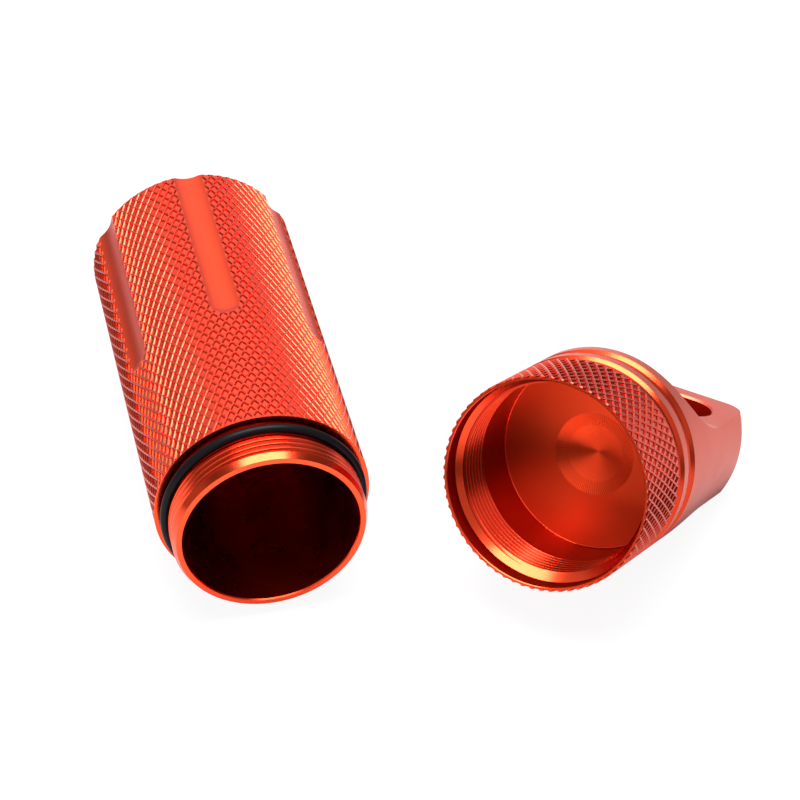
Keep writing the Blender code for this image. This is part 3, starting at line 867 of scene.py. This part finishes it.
def anodised(name, lay, group, finish):
    """Dyed aluminium: metal under a clear hard skin, with grain, turned lines, random patches and
    painted shade in its thread roots.
    """
    material = bpy.data.materials.new(name)
    material.use_nodes = True
    tree = material.node_tree
    shader = tree.nodes["Principled BSDF"]
    place = add_node(tree, "ShaderNodeMapping",
                     {"Vector": add_node(tree, "ShaderNodeTexCoord").outputs["Object"],
                      "Location": lay.translation, "Rotation": lay.to_euler()},
                     vector_type="TEXTURE")
    surface = add_node(tree, "ShaderNodeGroup", node_tree=group)
    tree.links.new(place.outputs[0], surface.inputs["Place"])
    for key, value in finish.look.items():
        surface.inputs[key].default_value = value
    # The thread roots are painted in shade: the colour runs from its own to the dark one between
    # the look's two radii
    deep_colour = (*finish.deep_colour, 1.0)
    depth = add_node(tree, "ShaderNodeMix",
                     {"Factor": surface.outputs["Depth"], "A": deep_colour,
                      "B": (*finish.colour, 1.0)}, data_type="RGBA").outputs["Result"]
    patches = {"Value": surface.outputs["Tone"], "From Min": PATCH_LOW, "From Max": PATCH_HIGH}
    tint = add_node(tree, "ShaderNodeMapRange",
                    {**patches, "To Min": 0.0, "To Max": PATCH_TINT}).outputs[0]
    dyed = add_node(tree, "ShaderNodeMix", {"Factor": tint, "A": depth, "B": deep_colour},
                    data_type="RGBA").outputs["Result"]
    rough = add_node(tree, "ShaderNodeMapRange",
                     {**patches, "To Min": finish.roughness * PATCH_SMOOTHER,
                      "To Max": finish.roughness * PATCH_ROUGHER})
    bump = add_node(tree, "ShaderNodeBump", {"Height": surface.outputs["Height"],
                                             "Distance": finish.relief, "Strength": 1.0})
    if finish.anisotropy:
        marks = add_node(tree, "ShaderNodeMapRange",
                         {"Value": surface.outputs["Marks"], "From Min": -1.0, "From Max": 1.0,
                          "To Min": CHATTER_TINT, "To Max": -CHATTER_TINT}).outputs[0]
        dyed = add_node(tree, "ShaderNodeMix", {"Factor": marks, "A": dyed, "B": deep_colour},
                        data_type="RGBA").outputs["Result"]
        outward = add_node(tree, "ShaderNodeTangent", direction_type="UV_MAP", uv_map="around")
        tree.links.new(outward.outputs[0], shader.inputs["Tangent"])
        shader.inputs["Anisotropic"].default_value = finish.anisotropy
    tree.links.new(dyed, shader.inputs["Base Color"])
    tree.links.new(rough.outputs[0], shader.inputs["Roughness"])
    tree.links.new(bump.outputs[0], shader.inputs["Normal"])
    shader.inputs["Metallic"].default_value = 1.0
    shader.inputs["Coat Weight"].default_value = finish.coat
    shader.inputs["Coat Roughness"].default_value = finish.coat_roughness
    return material


def set_finishes(kind, lay, group, thread, bore):
    """Make a machined piece's materials, in the order of its slots."""
    finishes.clear()
    for name, finish in (("knurl", KNURL_FINISH), ("knurl_wall_shade", WALL_SHADE_FINISH),
                         ("satin", SATIN_FINISH), ("flute", FLUTE_FINISH),
                         ("turned", TURNED_FINISH), ("thread", thread), ("bore", bore),
                         ("cone", CONE_FINISH), ("slot", SLOT_SHADE_FINISH),
                         ("faced", FACED_FINISH)):
        finishes.append(anodised(f"{kind}_{name}", lay, group, finish))


def rubber():
    """The seal ring's black rubber, with a soft dull sheen."""
    material = bpy.data.materials.new("seal_rubber")
    material.use_nodes = True
    shader = material.node_tree.nodes["Principled BSDF"]
    shader.inputs["Base Color"].default_value = (*RUBBER_BLACK, 1.0)
    shader.inputs["Roughness"].default_value = RUBBER_ROUGHNESS
    shader.inputs["Specular IOR Level"].default_value = RUBBER_SPECULAR
    return material


def wrap_around(mesh):
    """Give a mesh a map that runs up and outwards and once round, for the turned sheen."""
    layer = mesh.uv_layers.new(name="around")
    for face in mesh.polygons:
        middle = atan2(face.center.y, face.center.x)
        for corner in face.loop_indices:
            point = mesh.vertices[mesh.loops[corner].vertex_index].co
            radius = point.xy.length
            angle = atan2(point.y, point.x) if radius > MERGE_DISTANCE else middle
            turns = round((angle - middle) / (2.0 * pi))
            layer.uv[corner].vector = ((point.z + radius) / BODY_RADIUS, angle / (2.0 * pi) - turns)


def dress(piece, lay, body, node, knurled=False):
    """Give a piece its turned map, lay it where its node is, smooth its shading, hang it on the
    body it rides on and hide the part it stands for.
    """
    wrap_around(piece.data)
    piece.data.transform(lay)
    piece.data.shade_smooth()
    piece.data.set_sharp_from_angle(angle=SHARP_ANGLE)
    if knurled:
        smooth = [face.material_index not in (KNURL, SHADED_WALL) for face in piece.data.polygons]
        piece.data.polygons.foreach_set("use_smooth", smooth)
    modifier = piece.modifiers.new("flat_faces", "WEIGHTED_NORMAL")
    modifier.keep_sharp = True
    view = bpy.context.evaluated_depsgraph_get()
    piece.data = bpy.data.meshes.new_from_object(piece.evaluated_get(view))
    piece.modifiers.clear()
    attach(piece, body)
    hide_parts(node)


# Stage

# The camera that was fitted to the photograph: its place from the point of the floor under the
# shoulder's middle, where it looks, which way is right for it, and its lens
SHOULDER_TO_CAMERA = Vector((-0.0537, -0.3291, 0.3171))
VIEW_DIRECTION = Vector((0.1714, 0.7461, -0.6435))
VIEW_RIGHT = Vector((0.9746, -0.2239, 0.0))
SENSOR_WIDTH = 36.0
LENS_PIXELS = 2886.0
FRAME_PIXELS = 800.0

# A fade goes smoothly from one level to another between two places on an axis. The fades of one
# side of the room, or of the floor, multiply. Those of the room are over the direction looked
# in, and those of the floor over its own metres.
Fade = namedtuple("Fade", "axis low high at_low at_high")

BACK_WALL = (Fade("Y", 0.1, 0.6, 0.0, 1.0), Fade("Z", 0.1, 0.5, 0.35, 1.0),
             Fade("X", 0.4, 0.8, 1.0, 0.35), Fade("X", -0.5, -0.2, 0.62, 1.0))
LEFT_WALL = (Fade("Y", -0.35, -0.1, 0.0, 1.0), Fade("Z", 0.35, 0.62, 0.3, 0.0),
             Fade("X", -0.8, -0.35, 1.0, 0.0))
LEFT_WINDOW = (Fade("Y", -0.35, -0.1, 1.0, 0.0), Fade("Z", 0.15, 0.4, 0.1, 1.3),
               Fade("X", -0.8, -0.35, 1.0, 0.0))
RIGHT_WINDOW = (Fade("X", 0.2, 0.45, 0.0, 0.4), Fade("Y", -0.5, -0.15, 1.0, 0.0),
                Fade("Z", 0.1, 0.35, 0.0, 1.0))
FRONT_WINDOW = (Fade("Y", -0.45, -0.3, 1.0, 0.0), Fade("Z", 0.45, 0.6, 0.0, 1.5),
                Fade("X", 0.1, 0.4, 1.0, 0.0))
ROOM_LEVEL = 0.16

FLOOR_REACH = 3.0
FLOOR_LEVEL = 0.8
FLOOR_SHADOW_SHARE = 0.08
MIRRORED_ACROSS = (Fade("X", -0.25, 0.15, 0.2, 0.46),)
MIRRORED_AHEAD = (Fade("Y", -0.10, 0.12, 1.0, 0.12), Fade("X", 0.0, 0.06, 1.0, 0.3))

# The soft box's height, and how far it reaches left and right and to the front and the rear, for
# each metre of height
SOFT_BOX_HEIGHT = 0.70
SOFT_BOX_REACH = ((-0.40, 0.42), (-0.30, 0.52))
SOFT_BOX_RADIANCE = 13.0


def add_camera():
    """The camera at the photograph's angle."""
    forward = VIEW_DIRECTION.normalized()
    right = (VIEW_RIGHT - VIEW_RIGHT.dot(forward) * forward).normalized()
    upward = right.cross(forward)
    shoulder = tube_lay().translation
    place = Vector((shoulder.x, shoulder.y, 0.0)) + SHOULDER_TO_CAMERA
    camera = bpy.data.objects.new("photo_camera", bpy.data.cameras.new("photo_camera"))
    bpy.context.scene.collection.objects.link(camera)
    turn = Matrix((right, upward, -forward)).transposed().to_4x4()
    camera.matrix_world = Matrix.Translation(place) @ turn
    camera.data.sensor_width = SENSOR_WIDTH
    camera.data.lens = SENSOR_WIDTH * LENS_PIXELS / FRAME_PIXELS
    bpy.context.scene.camera = camera


def faded(tree, axes, fades):
    """The level that several fades give together."""
    level = 1.0
    for fade in fades:
        ramp = add_node(tree, "ShaderNodeMapRange",
                        {"Value": axes.outputs[fade.axis], "From Min": fade.low,
                         "From Max": fade.high, "To Min": fade.at_low, "To Max": fade.at_high},
                        interpolation_type="SMOOTHSTEP")
        level = maths(tree, "MULTIPLY", level, ramp.outputs[0])
    return level


def add_world():
    """White to the camera, and to the metal a dim room with a pale back wall and windows."""
    world = bpy.data.worlds.new("surroundings")
    bpy.context.scene.world = world
    world.use_nodes = True
    tree = world.node_tree
    tree.nodes.clear()
    direction = add_node(tree, "ShaderNodeTexCoord").outputs["Generated"]
    axes = add_node(tree, "ShaderNodeSeparateXYZ", {"Vector": direction})
    left = maths(tree, "ADD", faded(tree, axes, LEFT_WALL), faded(tree, axes, LEFT_WINDOW))
    brightest = maths(tree, "MAXIMUM", faded(tree, axes, BACK_WALL), left)
    for window in (RIGHT_WINDOW, FRONT_WINDOW):
        brightest = maths(tree, "MAXIMUM", brightest, faded(tree, axes, window))
    level = maths(tree, "ADD", brightest, ROOM_LEVEL)
    rays = add_node(tree, "ShaderNodeLightPath")
    strength = add_node(tree, "ShaderNodeMix",
                        {"Factor": rays.outputs["Is Camera Ray"], "A": level, "B": 1.0},
                        data_type="FLOAT").outputs[0]
    shade = add_node(tree, "ShaderNodeBackground", {"Color": WHITE, "Strength": strength})
    add_node(tree, "ShaderNodeOutputWorld", {"Surface": shade.outputs[0]})


def add_soft_box():
    """The overhead soft box, level and above the object."""
    (left, right), (front, rear) = SOFT_BOX_REACH
    width = (right - left) * SOFT_BOX_HEIGHT
    depth = (rear - front) * SOFT_BOX_HEIGHT
    lamp = bpy.data.objects.new("soft_box", bpy.data.lights.new("soft_box", "AREA"))
    bpy.context.scene.collection.objects.link(lamp)
    middle = Vector(((left + right) / 2.0, (front + rear) / 2.0, 1.0))
    lamp.location = middle * SOFT_BOX_HEIGHT
    lamp.data.shape = "RECTANGLE"
    lamp.data.size = width
    lamp.data.size_y = depth
    lamp.data.energy = SOFT_BOX_RADIANCE * pi * width * depth


def white_sweep():
    """The floor's finish: white with a faint share of the shadows, and dimmer in the metal."""
    material = bpy.data.materials.new("white_sweep")
    material.use_nodes = True
    tree = material.node_tree
    tree.nodes.clear()
    rays = add_node(tree, "ShaderNodeLightPath")
    place = add_node(tree, "ShaderNodeSeparateXYZ",
                     {"Vector": add_node(tree, "ShaderNodeTexCoord").outputs["Object"]})
    mirrored = maths(tree, "MAXIMUM", faded(tree, place, MIRRORED_ACROSS),
                     faded(tree, place, MIRRORED_AHEAD))
    level = add_node(tree, "ShaderNodeMix",
                     {"Factor": rays.outputs["Is Glossy Ray"], "A": FLOOR_LEVEL,
                      "B": maths(tree, "MULTIPLY", mirrored, FLOOR_LEVEL)},
                     data_type="FLOAT").outputs[0]
    lit = add_node(tree, "ShaderNodeBsdfDiffuse", {"Color": level})
    white = add_node(tree, "ShaderNodeEmission", {"Color": WHITE, "Strength": 1.0})
    share = maths(tree, "MULTIPLY", rays.outputs["Is Camera Ray"], 1.0 - FLOOR_SHADOW_SHARE)
    mixed = add_node(tree, "ShaderNodeMixShader",
                     {0: share, 1: lit.outputs[0], 2: white.outputs[0]})
    add_node(tree, "ShaderNodeOutputMaterial", {"Surface": mixed.outputs[0]})
    return material


def add_floor():
    """A wide flat floor under the object."""
    mesh = bpy.data.meshes.new("floor")
    corners = [(side * FLOOR_REACH, end * FLOOR_REACH, 0.0)
               for side, end in ((-1, -1), (1, -1), (1, 1), (-1, 1))]
    mesh.from_pydata(corners, [], [(0, 1, 2, 3)])
    floor = bpy.data.objects.new("floor", mesh)
    bpy.context.scene.collection.objects.link(floor)
    mesh.materials.append(white_sweep())


def build_scene():
    """Make and dress the three pieces, and set them on their stage."""
    bpy.context.scene.view_settings.view_transform = "Standard"
    group = surface_group()
    knurl = knurl_tree()
    set_finishes("tube", tube_lay(), group, NECK_THREAD_FINISH, BORE_SHADE_FINISH)
    dress(build_tube(knurl), tube_lay(), "tube", "capsule_tube", knurled=True)
    set_finishes("cap", cap_lay(), group, CAP_THREAD_FINISH, RELIEF_SHADE_FINISH)
    dress(build_cap(knurl), cap_lay(), "cap", "screw_cap", knurled=True)
    finishes[:] = [rubber()]
    dress(build_seal(), tube_lay(), "tube", "seal_ring")
    add_camera()
    add_world()
    add_floor()
    add_soft_box()


build_scene()
